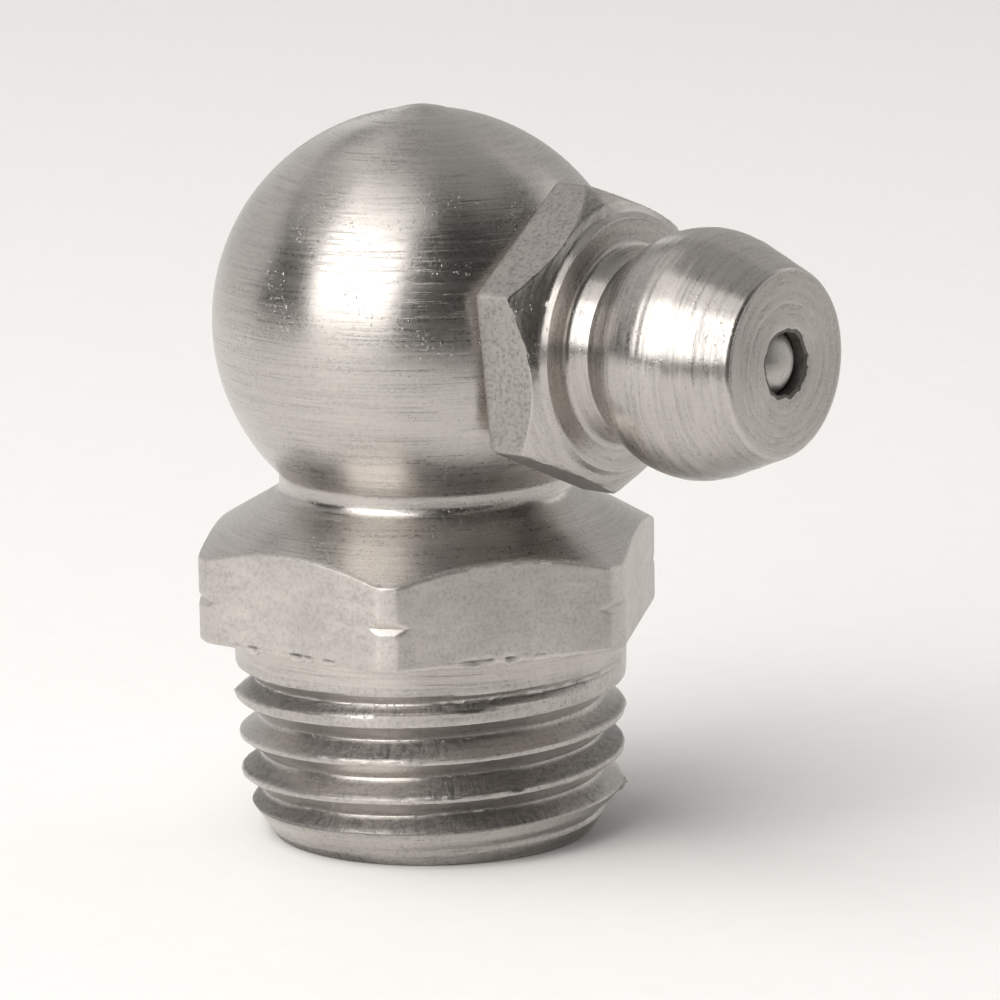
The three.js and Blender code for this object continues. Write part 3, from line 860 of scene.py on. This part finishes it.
def add_neck_and_head(t):
    """Front of the hexagon, leaning neck, rounded back of the head and its coned front."""
    for r in np.linspace(FLANGE_FRONT_RADIUS - 0.06, NIPPLE_NECK_RADIUS + 0.4, 7):
        t.add(r, FLANGE_FRONT + 0.008 * line_noise(r, 9, 5.2, 1.1), TURNED, along=r)
    fillet = NIPPLE_NECK_FILLET
    neck_rear = FLANGE_FRONT + fillet
    neck_end = HEAD_BACK[0][1]
    centre_radius = NIPPLE_NECK_RADIUS + NECK_LEAN * (neck_end - neck_rear) + fillet
    for r, x in arc(centre_radius, neck_rear, fillet, -math.pi / 2, -math.pi * 0.9, 6):
        t.add(r, x, TURNED, along=x)
    for x in np.arange(neck_rear + 0.03, neck_end - 0.02, 0.04):
        r = NIPPLE_NECK_RADIUS + NECK_LEAN * (neck_end - x)
        t.add(r + tool_marks(x), x, TURNED, along=x)
    for r, x in spline(HEAD_BACK, 16):
        t.add(r + tool_marks(x), x, TURNED, along=x)
    cone_start = HEAD_BACK[-1]
    cone_end = (FACE_RADIUS + FACE_CHAMFER, FACE - FACE_CHAMFER)
    for share in np.linspace(0, 1, 62)[1:-1]:
        r = cone_start[0] + (cone_end[0] - cone_start[0]) * share
        x = cone_start[1] + (cone_end[1] - cone_start[1]) * share
        t.add(r + tool_marks(x), x, TURNED, along=x)
    t.add(cone_end[0] - 0.01, cone_end[1], TURNED, along=FACE, wear=0.6)
    t.add(FACE_RADIUS + BEVEL, FACE - BEVEL, TURNED, along=FACE, wear=0.9)
    t.add(FACE_RADIUS - 0.03, FACE, TURNED, along=FACE_RADIUS, wear=0.4)


def add_face_and_bore(t):
    """Face, ragged lip of the mouth, seat and chamber."""
    for r in np.linspace(FACE_RADIUS - 0.08, MOUTH_RADIUS + 0.2, 40):
        mark = 0.003 * line_noise(r, 14, 3.3, 2.4) - 0.002
        t.add(r, FACE + mark, TURNED, along=r)
    torn = ragged(t.angles, 0, frequency=21, seed=12.5)
    torn += 0.4 * ragged(t.angles, 0, frequency=50, seed=2.5)
    t.add(MOUTH_RADIUS + 0.07 + 0.035 * torn, FACE - 0.004, TURNED, along=MOUTH_RADIUS)
    t.add(MOUTH_RADIUS + 0.03 + 0.035 * torn, FACE - 0.008, TURNED, along=MOUTH_RADIUS, wear=0.4)
    # From here inwards the rows take the bore's dark steel, which paints a shaded ring round the mouth
    t.add(MOUTH_RADIUS + 0.015 + 0.03 * torn, FACE - 0.018, SHADED_BORE)
    t.add(MOUTH_LIP_RADIUS + 0.02 * torn, FACE - 0.04, SHADED_BORE)
    for x in np.linspace(FACE - 0.1, FACE - SEAT_DEPTH + 0.1, 4):
        t.add(MOUTH_LIP_RADIUS, x, SHADED_BORE)
    t.add(MOUTH_RADIUS, FACE - SEAT_DEPTH + 0.01, SHADED_BORE)
    slope = CHAMBER_RADIUS - MOUTH_RADIUS
    for share in (0.3, 0.6, 1.0):
        t.add(MOUTH_RADIUS + slope * share, FACE - SEAT_DEPTH - slope * share, SHADED_BORE)
    chamber_end = STEM_START + LIP_LENGTH
    for x in np.linspace(FACE - SEAT_DEPTH - slope - 0.1, chamber_end + 0.04, 24):
        t.add(CHAMBER_RADIUS, x, SHADED_BORE)
    t.add(CHAMBER_RADIUS - 0.04, chamber_end, SHADED_BORE)
    t.add(LIP_RADIUS, chamber_end, SHADED_BORE)


def make_nipple():
    t = Turning(hex_columns(FLANGE_CORNER, close=0.5, wide=1.7, near=3.0))
    land = FLANGE_CORNER_RADIUS - 0.02
    outline = hexagon(t.angles, FLANGE_CORNER, FLANGE_HALF_FLATS)
    outline = soft_min(outline, land, HEX_CORNER_SOFTNESS)
    add_stem(t)
    add_flange(t, outline)
    add_neck_and_head(t)
    add_face_and_bore(t)
    mesh = t.mesh("nipple", ALONG_NIPPLE, nipple_steels)
    nipple = place("nipple", mesh, "fitting", "nipple_steel", "nipple_body")
    smooth(nipple.data)


# ---------------------------------------------------------------- check ball and spring


def make_check_ball():
    """A ground ball with the ring that the seat has worn on it."""
    t = Turning(round_columns())
    seat = math.radians(45)
    steps = 64
    for i in range(steps + 1):
        angle = -math.pi / 2 + math.pi * i / steps
        worn = 0.004 * math.exp(-(((angle - seat) / 0.06) ** 2))
        radius = CHECK_RADIUS - worn
        wear = math.exp(-(((angle - seat) / 0.05) ** 2))
        across = radius * math.cos(angle) if 0 < i < steps else 0
        t.add(across, CHECK_CENTRE + radius * math.sin(angle), 0, along=CHECK_RADIUS * angle, wear=wear)
    mesh = t.mesh("ball", ALONG_NIPPLE, [ball_steel])
    ball = place("ball", mesh, "check_ball", "ball_steel", "check_ball")
    smooth(ball.data)


def spring_route(start, end):
    """Points along the spring's centreline: closed coils at both ends and open coils between."""
    closed_rise = SPRING_CLOSED_TURNS * SPRING_CLOSED_PITCH
    turns = 2 * SPRING_CLOSED_TURNS + SPRING_OPEN_TURNS
    for i in range(round(turns * SPRING_TURN_STEPS) + 1):
        turn = i / SPRING_TURN_STEPS
        if turn < SPRING_CLOSED_TURNS:
            x = turn * SPRING_CLOSED_PITCH
        elif turn > SPRING_CLOSED_TURNS + SPRING_OPEN_TURNS:
            x = end - start - (turns - turn) * SPRING_CLOSED_PITCH
        else:
            share = (turn - SPRING_CLOSED_TURNS) / SPRING_OPEN_TURNS
            x = closed_rise + share * (end - start - 2 * closed_rise)
        y = SPRING_RADIUS * math.cos(turn * TAU)
        z = BALL_HEIGHT + SPRING_RADIUS * math.sin(turn * TAU)
        yield Vector((start + x, y, z))


def wire_mesh(name, route):
    """A round wire along the route, with its ends ground flatter."""
    sides = WIRE_SIDES
    count = len(route)
    points = []
    marks = []
    for i, centre in enumerate(route):
        ahead = route[min(i + 1, count - 1)] - route[max(i - 1, 0)]
        out = Vector((0, centre.y, centre.z - BALL_HEIGHT)).normalized()
        across = ahead.normalized().cross(out).normalized()
        end_taper = min(1.0, 0.55 + min(i, count - 1 - i) * 0.08)
        for k in range(sides):
            cos, sin = math.cos(TAU * k / sides), math.sin(TAU * k / sides)
            flat = out * cos * WIRE / 2 + across * sin * WIRE / 2 * end_taper
            points.append((centre + flat) * MM)
            marks.append((cos, sin, i * WIRE_MARK_STEP))
    points += [route[0] * MM, route[-1] * MM]
    marks += [(0, 0, 0), (0, 0, count * WIRE_MARK_STEP)]
    faces = []
    for i in range(count - 1):
        for k in range(sides):
            n = (k + 1) % sides
            faces.append((i * sides + k, i * sides + n, (i + 1) * sides + n, (i + 1) * sides + k))
    for k in range(sides):
        n = (k + 1) % sides
        faces.append((count * sides, n, k))
        faces.append((count * sides + 1, (count - 1) * sides + k, (count - 1) * sides + n))
    mesh = bpy.data.meshes.new(name)
    mesh.from_pydata(points, [], faces)
    turn = mesh.attributes.new("turn", "FLOAT_VECTOR", "POINT")
    turn.data.foreach_set("vector", np.array(marks, np.float32).ravel())
    mesh.attributes.new("wear", "FLOAT", "POINT")
    mesh.materials.append(wire_steel)
    weld(mesh)
    smooth(mesh, SHARP_WIRE_ANGLE)
    return mesh


def make_spring():
    rear = STEM_START + LIP_LENGTH + SPRING_GAP
    touch = math.sqrt((CHECK_RADIUS + WIRE / 2 + SPRING_GAP) ** 2 - SPRING_RADIUS**2)
    end = CHECK_CENTRE - touch
    mesh = wire_mesh("spring", list(spring_route(rear + WIRE / 2, end)))
    spring = place("spring", mesh, "fitting", "spring_steel", "check_spring")
    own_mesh(spring)


# ---------------------------------------------------------------- camera, floor and light

# Degrees, and millimetres from the ball's centre
CAMERA_AZIMUTH = 39.256
CAMERA_ELEVATION = 11.731
CAMERA_ROLL = -0.958
CAMERA_DISTANCE = 150.0
CAMERA_RIGHT = 1.934
CAMERA_UP = -4.649
CAMERA_LENS = 210.54
SENSOR_WIDTH = 36.0
CLIP_START = 0.01
CLIP_END = 20.0

# Metres, and pairs of colours that a faint grain mixes
FLOOR_REACH = 1.2
FLOOR_COLOURS = ((0.80, 0.795, 0.785), (0.83, 0.825, 0.815))
FLOOR_ROUGHNESS = 0.75
FLAG_AZIMUTH = 34
FLAG_START = 0.05
FLAG_HEIGHT = 0.0003
FLAG_COLOURS = ((0.045, 0.043, 0.041), (0.05, 0.048, 0.046))
FLAG_ROUGHNESS = 0.9
CARD_GRAIN_SCALE = 900
CARD_SPECULAR = 0.2

# The studio as the metal and the floor see it, and as the camera sees it
STUDIO_DARK = (0.06, 0.058, 0.055, 1)
STUDIO_PALE = (0.86, 0.855, 0.845, 1)
LAMP_COLOUR = (1.0, 0.985, 0.965)
LAMP_TARGET_HEIGHT = 10
# Name, degrees to the camera's right, elevation, width, height and distance in metres, radiance,
# and whether the metal shows it
LAMPS = (
    ("key", -41, 29, 0.26, 0.26, 0.30, 3.3, True),
    ("key_top", -42, 65, 0.22, 0.15, 0.30, 1.3, True),
    ("left_wall", -138, 14, 0.62, 0.34, 0.45, 0.66, True),
    ("left_high", -115, 52, 0.5, 0.26, 0.45, 0.5, True),
    ("back_wall", 155, 22, 0.6, 0.5, 0.45, 0.48, True),
    ("right_wall", 98, 17, 0.6, 0.38, 0.45, 0.64, True),
    ("top", 170, 74, 0.6, 0.4, 0.45, 0.37, True),
    ("floor_fill", -60, 66, 0.6, 0.6, 0.6, 2.05, False),
)


def direction(azimuth, elevation):
    """Unit vector towards a place round the object. Azimuth 0 is in front, at -Y, and 90 at +X."""
    a, e = math.radians(azimuth), math.radians(elevation)
    return Vector((math.sin(a) * math.cos(e), -math.cos(a) * math.cos(e), math.sin(e)))


def make_camera():
    data = bpy.data.cameras.new("camera")
    data.lens = CAMERA_LENS
    data.sensor_width = SENSOR_WIDTH
    data.clip_start = CLIP_START
    data.clip_end = CLIP_END
    camera = bpy.data.objects.new("camera", data)
    bpy.context.scene.collection.objects.link(camera)
    back = direction(CAMERA_AZIMUTH, CAMERA_ELEVATION)
    azimuth = math.radians(CAMERA_AZIMUTH)
    roll = Matrix.Rotation(math.radians(CAMERA_ROLL), 3, back)
    right = roll @ Vector((math.cos(azimuth), math.sin(azimuth), 0))
    up = back.cross(right)
    target = Vector((0, 0, BALL_HEIGHT)) + right * CAMERA_RIGHT + up * CAMERA_UP
    rotation = Matrix((right, up, back)).transposed()
    camera.matrix_world = Matrix.Translation((target + back * CAMERA_DISTANCE) * MM) @ rotation.to_4x4()
    bpy.context.scene.camera = camera


def card(name, corners, colours, roughness):
    """A flat matt sheet with a faint grain, which isn't part of the object."""
    mesh = bpy.data.meshes.new(name)
    mesh.from_pydata(corners, [], [(0, 1, 2, 3)])
    sheet = bpy.data.objects.new(name, mesh)
    bpy.context.scene.collection.objects.link(sheet)
    n = Nodes(name)
    grain = n.noise(n.new("TexCoord").outputs["Object"], CARD_GRAIN_SCALE, detail=3)
    n.link(n.mix(grain, *colours), n.shader.inputs["Base Color"])
    n.shader.inputs["Roughness"].default_value = roughness
    n.shader.inputs["Specular IOR Level"].default_value = CARD_SPECULAR
    mesh.materials.append(n.material)
    return sheet


def make_floor():
    """A pale floor, and a black card on it on the camera's right that shows only in the metal."""
    reach = FLOOR_REACH
    corners = [(-reach, -reach, 0), (reach, -reach, 0), (reach, reach, 0), (-reach, reach, 0)]
    card("floor", corners, FLOOR_COLOURS, FLOOR_ROUGHNESS)
    out = direction(CAMERA_AZIMUTH + FLAG_AZIMUTH, 0)
    side = Vector((-out.y, out.x, 0)) * reach
    lift = Vector((0, 0, FLAG_HEIGHT))
    near, far = out * FLAG_START + lift, out * reach + lift
    flag = card("flag", [near - side, near + side, far + side, far - side], FLAG_COLOURS, FLAG_ROUGHNESS)
    flag.visible_camera = False
    flag.visible_diffuse = False
    flag.visible_shadow = False


def softbox(name, aside, elevation, width, height, distance, radiance, in_metal):
    """A rectangular lamp that faces the object, which the camera doesn't see."""
    data = bpy.data.lights.new(name, "AREA")
    data.shape = "RECTANGLE"
    data.size = width
    data.size_y = height
    data.energy = radiance * math.pi * width * height
    data.color = LAMP_COLOUR
    lamp = bpy.data.objects.new(name, data)
    bpy.context.scene.collection.objects.link(lamp)
    towards = direction(CAMERA_AZIMUTH + aside, elevation)
    lamp.location = Vector((0, 0, LAMP_TARGET_HEIGHT * MM)) + towards * distance
    lamp.rotation_mode = "QUATERNION"
    lamp.rotation_quaternion = (-towards).to_track_quat("-Z", "Y")
    lamp.visible_camera = False
    lamp.visible_glossy = in_metal


def make_light():
    """A dark studio with a pale backdrop that only the camera sees, and the softboxes."""
    world = bpy.data.worlds.new("studio")
    world.use_nodes = True
    bpy.context.scene.world = world
    tree = world.node_tree
    path = tree.nodes.new("ShaderNodeLightPath")
    backdrop = tree.nodes.new("ShaderNodeMix")
    backdrop.data_type = "RGBA"
    backdrop.inputs["A"].default_value = STUDIO_DARK
    backdrop.inputs["B"].default_value = STUDIO_PALE
    tree.links.new(path.outputs["Is Camera Ray"], backdrop.inputs["Factor"])
    tree.links.new(backdrop.outputs["Result"], tree.nodes["Background"].inputs["Color"])
    for lamp in LAMPS:
        softbox(*lamp)


make_camera()
make_floor()
make_light()
make_elbow()
make_nipple()
make_check_ball()
make_spring()
bpy.context.scene.view_settings.view_transform = "Standard"
